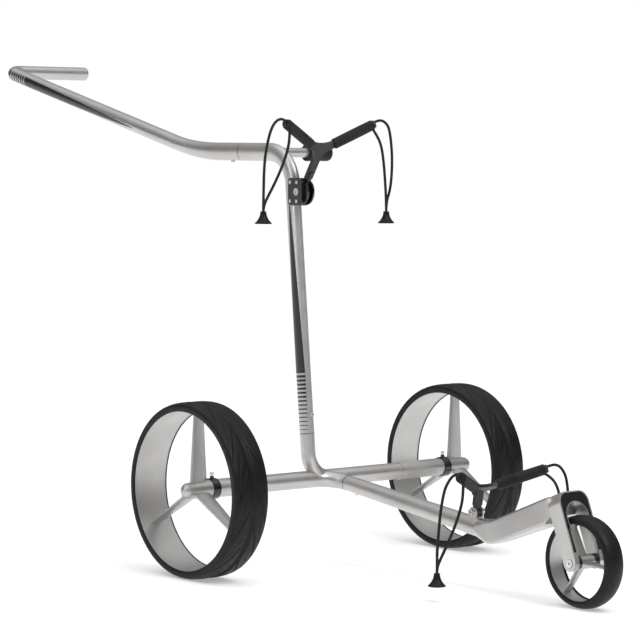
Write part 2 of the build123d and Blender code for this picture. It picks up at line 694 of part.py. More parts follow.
def arm_solids(frame, joint_v, tip_u, tip_v):
    """Sleeves and tip bosses of both arms, with each tip's place and direction."""
    sleeves = {}
    bosses = None
    ends = {}
    for side, sign in (("left", 1), ("right", -1)):
        root = frame.from_local_coords(Vector(0, joint_v, 0))
        tip = frame.from_local_coords(Vector(sign * tip_u, tip_v, 0))
        along = (tip - root).normalized()
        length = (tip - root).length
        start = root + along * (length * SLEEVE_FROM)
        end = root + along * (length * SLEEVE_TO)
        sleeve = rod(tuple(start), tuple(end), SLEEVE_OUT_R)
        sleeves[side] = fillet(sleeve.edges().filter_by(GeomType.CIRCLE), 1.6)
        boss = rod(tuple(tip - along * TIP_LEN), tuple(tip), TIP_R)
        bosses = boss if bosses is None else bosses + boss
        ends[side] = (tip, along)
    return sleeves, bosses, ends


def v_plate(joint_v, tip_u, tip_v, stem_w, stem_foot, armpit_fillet):
    """Y-shaped outline: a stem and two arms, filleted where they meet."""
    slope = (tip_v - joint_v) / tip_u
    arm_len = math.hypot(tip_u, tip_v - joint_v)
    half_stem = stem_w / 2
    edge = ARM_W / 2 * arm_len / tip_u      # height of an arm's edge above its centre line
    side_u = ARM_W / 2 * (tip_v - joint_v) / arm_len
    side_v = ARM_W / 2 * tip_u / arm_len
    crotch = (0, joint_v + edge)
    armpit = (half_stem, joint_v + half_stem * slope - edge)
    low_tip = (tip_u + side_u, tip_v - side_v)
    high_tip = (tip_u - side_u, tip_v + side_v)
    right = [(half_stem, stem_foot), armpit, low_tip, high_tip]
    left = [(-u, v) for u, v in reversed(right)]
    outline = make_face(Polyline(*right, crotch, *left, close=True))

    def near(place):
        return outline.vertices().filter_by(
            lambda v: math.hypot(abs(v.X) - place[0], v.Y - place[1]) < 0.01
        )

    outline = fillet(near(crotch), CROTCH_FILLET)
    return fillet(near(armpit), armpit_fillet)


# Upper yoke: stem and arms in one plane, leaning forward from the clamp.
UPPER_TILT = 32.1
UPPER_JOINT = 83.4
UPPER_TIP = 140.3
UPPER_STEM_W = 2 * SLOT_HALF - 2 * GAP
upper_plane = yoke_frame(pivot, UPPER_TILT)
upper_sleeves, upper_bosses, upper_ends = arm_solids(
    upper_plane, UPPER_JOINT, ARM_SPREAD_UPPER, UPPER_TIP
)
plate = v_plate(UPPER_JOINT, ARM_SPREAD_UPPER, UPPER_TIP, 15.0, 28.0, 22.0)
upper_yoke = extrude(upper_plane * plate, BAR_T / 2, both=True)
TONGUE_LEN = 42.0          # thicker tongue between the cheeks
TONGUE_HALF_T = 4.6
tongue = extrude(
    upper_plane * (Pos(0, TONGUE_LEN / 2) * Rectangle(UPPER_STEM_W, TONGUE_LEN)),
    TONGUE_HALF_T,
    both=True,
)
eye = x_rod(-UPPER_STEM_W / 2, UPPER_STEM_W / 2, 0, 0, EYE_R)
upper_yoke = upper_yoke + tongue + clamp_frame * eye + upper_bosses
upper_yoke = upper_yoke - clamp_frame * x_rod(-20, 20, 0, 0, PIVOT_BOLT_R + FIT)

# Lower yoke: upright stem from the tube, arms tilted well forward.
LOWER_PIVOT_AT = 376.0
LOWER_PIVOT_UP = 25.0      # above the front tube's centre line
lower_pivot = on_front(LOWER_PIVOT_AT) + Vector(0, 0, LOWER_PIVOT_UP)
LOWER_JOINT_Z = 164.0
LOWER_JOINT_Y = lower_pivot.Y - 5.0
LOWER_TILT = 59.0
LOWER_TIP = 70.0
lower_joint = Vector(0, LOWER_JOINT_Y, LOWER_JOINT_Z)
lower_plane = yoke_frame(lower_joint, LOWER_TILT)
lower_sleeves, lower_bosses, lower_ends = arm_solids(
    lower_plane, 0, ARM_SPREAD_LOWER, LOWER_TIP
)
lower_plate = v_plate(0, ARM_SPREAD_LOWER, LOWER_TIP, 15.0, -10.0, 3.0)
lower_yoke = extrude(lower_plane * lower_plate, BAR_T / 2, both=True)
LOWER_STEM_W = 12.0        # between the lugs
LOWER_STEM_WIDE = 16.0     # above them
LOWER_STEM_T = 8.0
LOWER_SHOULDER = 11.0
stem_dir = lower_joint - lower_pivot
stem_plane = Plane(origin=lower_pivot, x_dir=(1, 0, 0), z_dir=stem_dir)
stem = extrude(stem_plane * Rectangle(LOWER_STEM_W, LOWER_STEM_T), stem_dir.length + 3)
shoulder_plane = stem_plane.offset(LOWER_SHOULDER)
stem = stem + extrude(
    shoulder_plane * Rectangle(LOWER_STEM_WIDE, LOWER_STEM_T),
    stem_dir.length + 3 - LOWER_SHOULDER,
)
LUG_GAP = 6.3              # half gap between the clevis lugs
LUG_T = 3.0
LOWER_EYE_R = 7.5
lower_eye = x_rod(-6, 6, lower_pivot.Y, lower_pivot.Z, LOWER_EYE_R)
lower_yoke = lower_yoke + stem + lower_eye + lower_bosses
LOWER_BOLT_R = 3.0
lower_yoke = lower_yoke - x_rod(-20, 20, lower_pivot.Y, lower_pivot.Z, LOWER_BOLT_R + FIT)

# Clevis welded on top of the front tube.
lug_outline = x_rod(-LUG_GAP - LUG_T, LUG_GAP + LUG_T, lower_pivot.Y, lower_pivot.Z, 8.0)
lug_foot = Pos(0, lower_pivot.Y, lower_pivot.Z - 10) * Box(2 * (LUG_GAP + LUG_T), 16, 20)
lug_slot = Pos(0, lower_pivot.Y, lower_pivot.Z + 2) * Box(2 * LUG_GAP, 40, 22)
clevis = lug_outline + lug_foot - lug_slot - front_cone(0)
clevis = clevis - x_rod(-30, 30, lower_pivot.Y, lower_pivot.Z, LOWER_BOLT_R)
put("lower_clevis", largest(clevis))
lug_side = LUG_GAP + LUG_T
lower_bolt = x_rod(-lug_side, lug_side + 1, lower_pivot.Y, lower_pivot.Z, LOWER_BOLT_R)
lower_head = x_rod(-lug_side - 5, -lug_side, lower_pivot.Y, lower_pivot.Z, 5.6)
lower_socket = x_rod(-lug_side - 6, -lug_side - 2.5, lower_pivot.Y, lower_pivot.Z, 2.2)
lower_nut = x_rod(lug_side, lug_side + 4.5, lower_pivot.Y, lower_pivot.Z, 5.6)
put("lower_pivot_bolt", (lower_bolt + lower_head + lower_nut) - lower_socket)

# ---------------------------------------------------------------- elastic cord loops
CORD_R = 2.4
CORD_START_UP = 3.0        # where the outer strand leaves the tip's end face
CONE_H = 21.0
CONE_R = 14.5
CONE_TOP_R = 5.2
CONE_WALL = 1.8
CONE_CROWN = 6.0           # solid crown that holds the strands
STRAND_HALF = 2.5          # strands side by side where they enter the cone
STRAND_END = 16.0          # last straight run into the cone
INNER_IN = 7.0             # the inner strand leaves under the arm, in from its tip
INNER_FRONT = 5.2
INNER_DOWN = 6.8
FAR = Vector(0.643, 0.763, 0)

# Routes are (out, back, down) from an arm's tip. The outer strand leaves the tip's end face,
# goes over in a bend and falls to the cone. The inner strand's sag is its height above the
# cone and its share of the way back to the arm.
UPPER_NEAR = (
    (4, -1, -5), (13, -3, -7), (23, -4, -4), (31, -4, 4), (36, -3, 15),
    (40, -1, 32), (43, 2, 56), (43, 5, 84), (41, 8, 110),
)
UPPER_FAR = (
    (5, -1, -5.3), (13, -3, -6.4), (20, -4, -3.8), (27, -5, 2.5), (31, -5, 12),
    (34.5, -4, 24), (39, -2, 42), (43, 1, 64), (45, 4, 90), (44, 7, 116),
)
LOWER_NEAR = (
    (5, -2, -4.8), (14, -4, -5.5), (23, -5, -2), (31, -5, 6), (37, -4, 17),
    (41, -3, 34), (44, -1, 60), (46, 0, 90), (47, 2, 117),
)
LOWER_FAR = (
    (4, -2, -4.5), (13, -4, -6), (23, -5, -3), (32, -5, 5), (39, -5, 16),
    (44, -4, 32), (48, -3, 56), (50, -1, 82), (49, 1, 108),
)
SAG_NEAR = ((10, 0.01), (26, 0.18), (50, 0.46), (82, 0.77), (110, 0.96), (130, 1.0))
SAG_FAR = ((20, 0.02), (54, 0.10), (88, 0.22), (114, 0.38), (131, 0.66))
LOOPS = {
    ("upper", "right"): (UPPER_NEAR, SAG_NEAR, (39, 11, 150)),
    ("upper", "left"): (UPPER_FAR, SAG_FAR, (39, 11, 153)),
    ("lower", "right"): (LOWER_NEAR, SAG_NEAR, (46, 3, 153)),
    ("lower", "left"): (LOWER_FAR, SAG_FAR, (46, 3, 148)),
}


def arc_radii(points):
    """Bend radius at each inner point of a route, from its runs and its turn."""
    radii = []
    for before, here, after in zip(points, points[1:], points[2:]):
        into = here - before
        out = after - here
        half_turn = math.radians(into.get_angle(out)) / 2
        radii.append(0.45 * min(into.length, out.length) / math.tan(half_turn))
    return radii


def cord_tube(name, points):
    radii = arc_radii(points)
    path = FilletPolyline(*points, radius=radii)
    start = Plane(origin=points[0], z_dir=points[1] - points[0])
    tube = sweep(start * Circle(CORD_R), path=path)
    share = tube.volume / (math.pi * CORD_R**2 * path.length)
    print(f"{name}: length {path.length:.0f}, volume against section x length {share:.3f}")
    print("  radii", [round(radius) for radius in radii])
    return tube


def offset(tip, sign, place):
    """Point at (out, back, down) from an arm's tip, out being away from the other arm."""
    out, back, down = place
    return tip + Vector(sign * out, back, -down)


def outer_strand(tip, sign, falls, cone):
    """From the tip's end face, over in a bend, then down to the cone."""
    foot = offset(tip, sign, cone) + FAR * (sign * STRAND_HALF)
    points = [tip + Vector(0, 0, CORD_START_UP)]
    points += [offset(tip, sign, place) for place in falls]
    return points + [foot + Vector(0, 0, STRAND_END), foot]


def inner_strand(tip, along, sign, sag, cone):
    """From under the arm, down to the cone."""
    start = tip - along * INNER_IN - Vector(0, INNER_FRONT, INNER_DOWN)
    foot = offset(tip, sign, cone) - FAR * (sign * STRAND_HALF)
    points = [start]
    for height, share in reversed(sag):
        place = foot + (start - foot) * share
        points.append(Vector(place.X, place.Y, foot.Z + height))
    return points + [foot]


def cone_solid(top):
    """Trumpet-shaped toggle, hollow from below, with a solid crown."""
    crown_in = CONE_TOP_R - CONE_WALL
    profile = (
        Line((0, 0), (CONE_TOP_R, 0))
        + ThreePointArc(
            (CONE_TOP_R, 0), (CONE_TOP_R + 2.7, -CONE_H * 0.55), (CONE_R, -CONE_H + 1.5)
        )
        + Polyline((CONE_R, -CONE_H + 1.5), (CONE_R, -CONE_H), (CONE_R - CONE_WALL, -CONE_H))
        + ThreePointArc(
            (CONE_R - CONE_WALL, -CONE_H), (CONE_TOP_R + 1.0, -CONE_H * 0.62), (crown_in, -CONE_CROWN)
        )
        + Polyline((crown_in, -CONE_CROWN), (0, -CONE_CROWN), (0, 0))
    )
    turned = revolve(Plane.XZ * make_face(profile), axis=Axis.Z)
    return Pos(*tuple(top)) * turned


YOKES = (
    ("upper", upper_yoke, upper_sleeves, upper_ends),
    ("lower", lower_yoke, lower_sleeves, lower_ends),
)
for level, yoke, sleeves, ends in YOKES:
    for side, sign in (("left", 1), ("right", -1)):
        tip, along = ends[side]
        falls, sag, cone = LOOPS[level, side]
        cone_top = offset(tip, sign, cone)
        outer_tube = cord_tube(
            f"{level}_cord_{side}_outer", outer_strand(tip, sign, falls, cone)
        )
        inner_tube = cord_tube(
            f"{level}_cord_{side}_inner", inner_strand(tip, along, sign, sag, cone)
        )
        put(f"{level}_cord_{side}_outer", outer_tube)
        put(f"{level}_cord_{side}_inner", inner_tube)
        put(f"{level}_cone_{side}", cone_solid(cone_top))
        put(f"{level}_sleeve_{side}", largest(sleeves[side] - yoke - inner_tube))
    put(f"{level}_yoke", yoke)

print(len(placed), "pieces")
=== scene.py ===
"""Three-wheel golf push cart: materials, tread, grips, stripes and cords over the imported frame."""

import json
import math
import random

import bmesh
import bpy
from mathutils import Matrix, Vector


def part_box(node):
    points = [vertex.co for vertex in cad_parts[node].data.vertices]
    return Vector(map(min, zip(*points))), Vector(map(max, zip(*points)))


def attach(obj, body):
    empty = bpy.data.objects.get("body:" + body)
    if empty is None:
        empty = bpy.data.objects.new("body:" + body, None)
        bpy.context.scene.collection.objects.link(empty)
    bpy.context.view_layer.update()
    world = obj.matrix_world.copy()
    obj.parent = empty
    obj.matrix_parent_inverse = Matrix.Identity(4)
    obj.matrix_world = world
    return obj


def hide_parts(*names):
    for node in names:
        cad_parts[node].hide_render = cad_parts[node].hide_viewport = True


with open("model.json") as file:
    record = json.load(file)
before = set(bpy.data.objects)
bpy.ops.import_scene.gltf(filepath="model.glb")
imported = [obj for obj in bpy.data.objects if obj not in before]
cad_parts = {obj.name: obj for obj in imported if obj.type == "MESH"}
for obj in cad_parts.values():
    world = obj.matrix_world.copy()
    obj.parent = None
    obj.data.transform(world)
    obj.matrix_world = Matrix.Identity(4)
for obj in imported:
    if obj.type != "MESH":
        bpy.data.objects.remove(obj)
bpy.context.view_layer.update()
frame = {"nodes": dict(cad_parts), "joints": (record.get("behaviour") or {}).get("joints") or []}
nodes = frame["nodes"]
random.seed(7)

# ---------------------------------------------------------------- places taken from the frame
tyre_low, tyre_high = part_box("rear_tyre_left")
axle = Vector((0.0, (tyre_low.y + tyre_high.y) / 2, (tyre_low.z + tyre_high.z) / 2))
ground = Vector((0.0, axle.y, 0.0))
joints = {joint["name"]: joint for joint in frame["joints"]}


def joint_place(name):
    return Vector(joints[name]["pos_m"])


# ---------------------------------------------------------------- camera
AZIMUTH = math.radians(-40.135)
ELEVATION = math.radians(3.73)
ROLL = math.radians(0.368)
DISTANCE = 4.92666
AIM_RIGHT = -0.01854
AIM_UP = 0.42641

back = Vector(
    (
        math.sin(AZIMUTH) * math.cos(ELEVATION),
        -math.cos(AZIMUTH) * math.cos(ELEVATION),
        math.sin(ELEVATION),
    )
)
right = Vector((math.cos(AZIMUTH), math.sin(AZIMUTH), 0.0))
up = back.cross(right)
rolled_right = right * math.cos(ROLL) + up * math.sin(ROLL)
rolled_up = up * math.cos(ROLL) - right * math.sin(ROLL)
camera_data = bpy.data.cameras.new("camera")
camera_data.sensor_width = 36.0
camera_data.lens = 157.07
camera_data.clip_end = 50.0
camera = bpy.data.objects.new("camera", camera_data)
bpy.context.scene.collection.objects.link(camera)
turn = Matrix((rolled_right, rolled_up, back)).transposed().to_4x4()
spot = ground + rolled_right * AIM_RIGHT + rolled_up * AIM_UP + back * DISTANCE
camera.matrix_world = Matrix.Translation(spot) @ turn
bpy.context.scene.camera = camera


# ---------------------------------------------------------------- material helpers
class Mat:
    """A Principled material with short calls for its nodes."""

    def __init__(self, name, metallic=0.0, roughness=0.5, **sockets):
        self.material = bpy.data.materials.new(name)
        self.material.use_nodes = True
        self.tree = self.material.node_tree
        self.shader = self.tree.nodes["Principled BSDF"]
        self.set(self.shader, "Metallic", metallic)
        self.set(self.shader, "Roughness", roughness)
        for socket, value in sockets.items():
            self.set(self.shader, socket.replace("_", " "), value)
        self.coords = self.node("ShaderNodeTexCoord").outputs["Object"]

    def node(self, kind, **values):
        made = self.tree.nodes.new(kind)
        for name, value in values.items():
            setattr(made, name, value)
        return made

    def set(self, node, socket, value):
        node.inputs[socket].default_value = value

    def link(self, output, node, socket):
        self.tree.links.new(output, node.inputs[socket])

    def stretched(self, scale):
        mapping = self.node("ShaderNodeMapping")
        self.link(self.coords, mapping, "Vector")
        self.set(mapping, "Scale", scale)
        return mapping.outputs["Vector"]

    def noise(self, scale, detail=3.0, vector=None, rough=0.55):
        made = self.node("ShaderNodeTexNoise")
        self.link(vector or self.coords, made, "Vector")
        self.set(made, "Scale", scale)
        self.set(made, "Detail", detail)
        self.set(made, "Roughness", rough)
        return made.outputs["Fac"]

    def ramp(self, output, low, high, at=(0.35, 0.65)):
        made = self.node("ShaderNodeValToRGB")
        self.link(output, made, "Fac")
        for element, place, colour in zip(made.color_ramp.elements, at, (low, high)):
            element.position = place
            element.color = (*colour, 1.0) if len(colour) == 3 else colour
        return made.outputs["Color"]

    def span(self, output, low, high):
        made = self.node("ShaderNodeMapRange")
        self.link(output, made, "Value")
        self.set(made, "From Min", 0.3)
        self.set(made, "From Max", 0.7)
        self.set(made, "To Min", low)
        self.set(made, "To Max", high)
        return made.outputs["Result"]

    def bump(self, output, strength, distance):
        made = self.node("ShaderNodeBump")
        self.link(output, made, "Height")
        self.set(made, "Strength", strength)
        self.set(made, "Distance", distance)
        if self.shader.inputs["Normal"].is_linked:
            earlier = self.shader.inputs["Normal"].links[0].from_socket
            self.link(earlier, made, "Normal")
        self.link(made.outputs["Normal"], self.shader, "Normal")

    def colour(self, output):
        self.link(output, self.shader, "Base Color")

    def roughness(self, output):
        self.link(output, self.shader, "Roughness")


def grey(value, warm=0.0):
    return (value * (1 + warm), value, value * (1 - warm))


def satin_metal(name, tone, warm, rough, grain_scale):
    """Satin silver lacquer over metal: fine flake, faint cloudy tone, hairline scratches."""
    mat = Mat(name, metallic=0.82, roughness=rough, Coat_Weight=0.12, Coat_Roughness=0.22)
    cloud = mat.noise(9.0, 4.0)
    mat.colour(mat.ramp(cloud, grey(tone * 0.93, warm), grey(tone * 1.05, warm)))
    mat.roughness(mat.span(mat.noise(60.0, 5.0), rough - 0.05, rough + 0.06))
    mat.bump(mat.noise(grain_scale, 2.0), 0.10, 0.00012)
    return mat.material


def machined_metal(name, tone, rough):
    """Turned aluminium: tight rings about the axle over a soft cloud."""
    mat = Mat(name, metallic=0.85, roughness=rough)
    rings = mat.noise(420.0, 3.0, mat.stretched((1.0, 0.05, 0.05)))
    cloud = mat.noise(14.0, 3.0)
    mat.colour(mat.ramp(cloud, grey(tone * 0.94, 0.01), grey(tone * 1.04, 0.01)))
    mat.roughness(mat.span(rings, rough - 0.06, rough + 0.08))
    mat.bump(rings, 0.14, 0.00015)
    return mat.material


def bright_steel(name):
    mat = Mat(name, metallic=1.0, roughness=0.24)
    mat.colour(mat.ramp(mat.noise(120.0, 3.0), grey(0.60, 0.01), grey(0.74, 0.01)))
    mat.roughness(mat.span(mat.noise(300.0, 4.0), 0.18, 0.34))
    mat.bump(mat.noise(900.0, 2.0), 0.08, 0.0001)
    return mat.material


def black_rubber(name, tone, rough, grain):
    """Moulded rubber: dusty tone in patches and a fine pebble."""
    mat = Mat(name, roughness=rough, Specular_IOR_Level=0.24)
    mat.colour(mat.ramp(mat.noise(26.0, 5.0), grey(tone * 0.75), grey(tone * 1.35, 0.02)))
    mat.roughness(mat.span(mat.noise(80.0, 4.0), rough - 0.09, rough + 0.08))
    mat.bump(mat.noise(grain, 3.0), 0.25, 0.0002)
    return mat.material


def foam_grip(name):
    """Closed-cell foam: dense open pores with a soft sheen."""
    mat = Mat(name, roughness=0.66, Specular_IOR_Level=0.25, Sheen_Weight=0.04)
    cells = mat.node("ShaderNodeTexVoronoi", feature="F1")
    mat.link(mat.coords, cells, "Vector")
    mat.set(cells, "Scale", 900.0)
    mat.colour(mat.ramp(mat.noise(50.0, 4.0), grey(0.008), grey(0.018)))
    mat.bump(cells.outputs["Distance"], 0.35, 0.0004)
    mat.bump(mat.noise(2400.0, 2.0), 0.15, 0.0001)
    return mat.material


def gloss_black(name, tone, rough, grain=700.0, coat=0.4):
    mat = Mat(name, roughness=rough, Coat_Weight=coat, Coat_Roughness=0.12)
    mat.colour(mat.ramp(mat.noise(20.0, 3.0), grey(tone * 0.85), grey(tone * 1.2)))
    mat.roughness(mat.span(mat.noise(90.0, 4.0), rough - 0.05, rough + 0.07))
    mat.bump(mat.noise(grain, 2.0), 0.07, 0.0001)
    return mat.material


def braid(name):
    """Braided elastic cover: two crossing sets of fine diagonal yarns."""
    mat = Mat(name, roughness=0.70, Specular_IOR_Level=0.25, Sheen_Weight=0.04)
    turned = []
    for angle in (0.7, -0.7):
        mapping = mat.node("ShaderNodeMapping")
        mat.link(mat.coords, mapping, "Vector")
        mat.set(mapping, "Rotation", (angle, 0.4, 0.0))
        wave = mat.node("ShaderNodeTexWave", bands_direction="Z")
        mat.link(mapping.outputs["Vector"], wave, "Vector")
        mat.set(wave, "Scale", 240.0)
        mat.set(wave, "Distortion", 0.6)
        turned.append(wave.outputs["Fac"])
    cross = mat.node("ShaderNodeMath", operation="MAXIMUM")
    mat.link(turned[0], cross, 0)
    mat.link(turned[1], cross, 1)
    mat.colour(mat.ramp(cross.outputs["Value"], grey(0.004), grey(0.016), (0.2, 0.95)))
    mat.bump(cross.outputs["Value"], 0.5, 0.0003)
    return mat.material


frame_silver = satin_metal("frame_silver", 0.55, 0.018, 0.34, 1600.0)
wheel_silver = machined_metal("wheel_silver", 0.56, 0.40)
spoke_silver = satin_metal("spoke_silver", 0.52, 0.01, 0.38, 1500.0)
steel = bright_steel("bright_steel")
tyre_rubber = black_rubber("tyre_rubber", 0.006, 0.46, 900.0)
toggle_rubber = black_rubber("toggle_rubber", 0.006, 0.42, 1100.0)
foam = foam_grip("foam_grip")
black_metal = gloss_black("black_powder_coat", 0.007, 0.44, 1300.0, 0.05)
black_plastic = gloss_black("gloss_black_plastic", 0.006, 0.20)
stripe_black = gloss_black("stripe_black", 0.008, 0.36, 1500.0, 0.25)
cord_black = braid("braided_elastic")

# ---------------------------------------------------------------- elastic cords
MM = 0.001
CORD_R = 2.4 * MM
CORD_START_UP = 3.0 * MM
STRAND_HALF = 2.5 * MM
STRAND_END = 16.0 * MM
INNER_IN = 7.0 * MM
INNER_FRONT = 5.2 * MM
INNER_DOWN = 6.8 * MM
SLEEVE_OUT_R = 9.2 * MM
FAR = Vector((0.643, 0.763, 0.0))

# Routes are (out, back, down) in millimetres from an arm's tip. The outer strand leaves the
# tip's end face, goes over in a bend and falls to the cone. The inner strand's sag is its
# height above the cone and its share of the way back to the arm.
UPPER_NEAR = (
    (4, -1, -5), (13, -3, -7), (23, -4, -4), (31, -4, 4), (36, -3, 15),
    (40, -1, 32), (43, 2, 56), (43, 5, 84), (41, 8, 110),
)
UPPER_FAR = (
    (5, -1, -5.3), (13, -3, -6.4), (20, -4, -3.8), (27, -5, 2.5), (31, -5, 12),
    (34.5, -4, 24), (39, -2, 42), (43, 1, 64), (45, 4, 90), (44, 7, 116),
)
LOWER_NEAR = (
    (5, -2, -4.8), (14, -4, -5.5), (23, -5, -2), (31, -5, 6), (37, -4, 17),
    (41, -3, 34), (44, -1, 60), (46, 0, 90), (47, 2, 117),
)
LOWER_FAR = (
    (4, -2, -4.5), (13, -4, -6), (23, -5, -3), (32, -5, 5), (39, -5, 16),
    (44, -4, 32), (48, -3, 56), (50, -1, 82), (49, 1, 108),
)
SAG_NEAR = ((10, 0.01), (26, 0.18), (50, 0.46), (82, 0.77), (110, 0.96), (130, 1.0))
SAG_FAR = ((20, 0.02), (54, 0.10), (88, 0.22), (114, 0.38), (131, 0.66))
LOOPS = {
    ("upper", "right"): (UPPER_NEAR, SAG_NEAR, (39, 11, 150)),
    ("upper", "left"): (UPPER_FAR, SAG_FAR, (39, 11, 153)),
    ("lower", "right"): (LOWER_NEAR, SAG_NEAR, (46, 3, 153)),
    ("lower", "left"): (LOWER_FAR, SAG_FAR, (46, 3, 148)),
}


def offset(tip, sign, place):
    """Point at (out, back, down) from an arm's tip, out being away from the other arm."""
    out, back, down = place
    return tip + Vector((sign * out, back, -down)) * MM


def outer_strand(tip, sign, falls, cone):
    foot = offset(tip, sign, cone) + FAR * (sign * STRAND_HALF)
    points = [tip + Vector((0, 0, CORD_START_UP))]
    points += [offset(tip, sign, place) for place in falls]
    return points + [foot + Vector((0, 0, STRAND_END)), foot]


def inner_strand(tip, along, sign, sag, cone):
    start = tip - along * INNER_IN - Vector((0, INNER_FRONT, INNER_DOWN))
    foot = offset(tip, sign, cone) - FAR * (sign * STRAND_HALF)
    points = [start]
    for height, share in reversed(sag):
        place = foot + (start - foot) * share
        points.append(Vector((place.x, place.y, foot.z + height * MM)))
    return points + [foot]


def line_length(curve):
    """Length of the curve's own line, measured before it is given its thickness."""
    bpy.context.view_layer.update()
    line = bpy.data.meshes.new_from_object(curve.evaluated_get(
        bpy.context.evaluated_depsgraph_get()))
    total = sum(
        (line.vertices[a].co - line.vertices[b].co).length
        for a, b in (edge.vertices for edge in line.edges)
    )
    bpy.data.meshes.remove(line)
    return total


def add_cord(name, points, body):
    data = bpy.data.curves.new(name, "CURVE")
    data.dimensions = "3D"
    data.resolution_u = 10
    spline = data.splines.new("NURBS")
    spline.points.add(len(points) - 1)
    for control, point in zip(spline.points, points):
        control.co = (*point, 1.0)
    spline.order_u = 3
    spline.use_endpoint_u = True
    curve = bpy.data.objects.new(name, data)
    bpy.context.scene.collection.objects.link(curve)
    length = line_length(curve)
    data.bevel_depth = CORD_R
    data.bevel_resolution = 6
    data.use_fill_caps = True
    data.materials.append(cord_black)
    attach(curve, body)
    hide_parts(name.replace("_line", ""))
    tuple(points[0])


# Arm roots and tips, from the hinge of each rack.
upper_hinge = joint_place("upper_rack_fold")
lower_hinge = joint_place("lower_rack_fold")


def plate_point(origin, tilt_deg, across, along_plate):
    tilt = math.radians(tilt_deg)
    rise = Vector((0, -math.sin(tilt), math.cos(tilt)))
    return origin + Vector((across, 0, 0)) + rise * along_plate


lower_joint = Vector((0.0, lower_hinge.y - 5 * MM, 164 * MM))
RACKS = {
    "upper": (upper_hinge, 32.1, 83.4 * MM, 100 * MM, 140.3 * MM),
    "lower": (lower_joint, 59.0, 0.0, 99 * MM, 70 * MM),
}
arms = {}
for level, (origin, tilt, root_v, tip_u, tip_v) in RACKS.items():
    for side, sign in (("left", 1), ("right", -1)):
        root = plate_point(origin, tilt, 0.0, root_v)
        tip = plate_point(origin, tilt, sign * tip_u, tip_v)
        along = (tip - root).normalized()
        arms[level, side] = (root, tip, along)
        falls, sag, cone_place = LOOPS[level, side]
        outer = outer_strand(tip, sign, falls, cone_place)
        inner = inner_strand(tip, along, sign, sag, cone_place)
        add_cord(f"{level}_cord_{side}_outer_line", outer, f"{level}_rack")
        add_cord(f"{level}_cord_{side}_inner_line", inner, f"{level}_rack")


# ---------------------------------------------------------------- materials on the carried-over parts
def dress(material, *names):
    for name in names:
        node = nodes[name]
        node.data.materials.clear()
        node.data.materials.append(material)


def smooth(names, angle_deg=32.0):
    """Round faces shade smoothly and real edges stay crisp."""
    for name in names:
        mesh = nodes[name].data
        for polygon in mesh.polygons:
            polygon.use_smooth = True
        mesh.set_sharp_from_angle(angle=math.radians(angle_deg))


dress(
    frame_silver,
    "axle_front_tube", "axle_mast_tube", "axle_end_sleeves", "front_tube", "mast_tube",
    "handle_tube", "grip_cap", "neck", "fork", "peg_rod", "lower_clevis",
    "front_spigot", "mast_spigot", "handle_spigot",
)
dress(wheel_silver, "rear_rim_left", "rear_rim_right", "front_rim")
dress(spoke_silver, "rear_spider_left", "rear_spider_right", "front_spider")
dress(
    steel,
    "wheel_pin_left", "wheel_pin_right", "release_pin_left", "release_pin_right",
    "rear_bushes_left", "rear_bushes_right", "clamp_screws", "upper_pivot_bolt",
    "lower_pivot_bolt", "front_axle_bolt", "mast_button", "front_button", "handle_button",
)
dress(black_plastic, "clamp_body", "axle_collar_left", "axle_collar_right", "front_spacers")
dress(black_plastic, "fork_insert")
dress(black_metal, "upper_yoke", "lower_yoke")
dress(
    toggle_rubber,
    "upper_cone_left", "upper_cone_right", "lower_cone_left", "lower_cone_right",
)
dress(foam, "peg_sleeve")
smooth(nodes)


# ---------------------------------------------------------------- new pieces
def add_piece(name, mesh, material, body, slot, *stands_for):
    mesh.materials.append(material)
    piece = bpy.data.objects.new(name, mesh)
    bpy.context.scene.collection.objects.link(piece)
    for polygon in mesh.polygons:
        polygon.use_smooth = True
    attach(piece, body)
    if stands_for:
        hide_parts(*stands_for)
    return piece


def grid_mesh(name, rows, columns, place, wrap_rows, wrap_columns):
    """Quads over place(row, column), joined round either way that wraps."""
    vertices = [place(r, c) for r in range(rows) for c in range(columns)]
    faces = []
    for r in range(rows if wrap_rows else rows - 1):
        for c in range(columns if wrap_columns else columns - 1):
            r_next = (r + 1) % rows
            c_next = (c + 1) % columns
            faces.append(
                (
                    r * columns + c,
                    r * columns + c_next,
                    r_next * columns + c_next,
                    r_next * columns + c,
                )
            )
    mesh = bpy.data.meshes.new(name)
    mesh.from_pydata([tuple(v) for v in vertices], [], faces)
    mesh.update()
    return mesh


def smoothstep(low, high, value):
    t = min(max((value - low) / (high - low), 0.0), 1.0)
    return t * t * (3 - 2 * t)


def groove(distance, half_width):
    """Depth share of a round-bottomed groove at a distance from its middle."""
    return 1.0 - smoothstep(half_width * 0.35, half_width, abs(distance))


def tyre_profile(radius, half_width, bore, seat, lip, shoulder, power):
    """Closed (across, radius, tread share) outline of a tyre, across the tread first."""
    profile = []
    tread_steps = 64
    for index in range(tread_steps + 1):
        share = -1 + 2 * index / tread_steps
        across = half_width * math.sin(share * math.pi / 2)
        reach = abs(across) / half_width
        drop = shoulder * (1 - (1 - reach**power) ** (1 / power)) if reach < 1 else shoulder
        tread = 1 - smoothstep(0.78, 0.95, reach)
        profile.append((across, radius - drop, tread))
    for across, r in (
        (half_width, bore + 1.2 * MM),
        (half_width - 0.5 * MM, bore),
        (half_width - lip, bore),
        (half_width - lip, seat),
        (-half_width + lip, seat),
        (-half_width + lip, bore),
        (-half_width + 0.5 * MM, bore),
        (-half_width, bore + 1.2 * MM),
    ):
        profile.append((across, r, 0.0))
    return profile


BEAD_IN = 4.0 * MM      # the beads reach this far in over the rim's edges


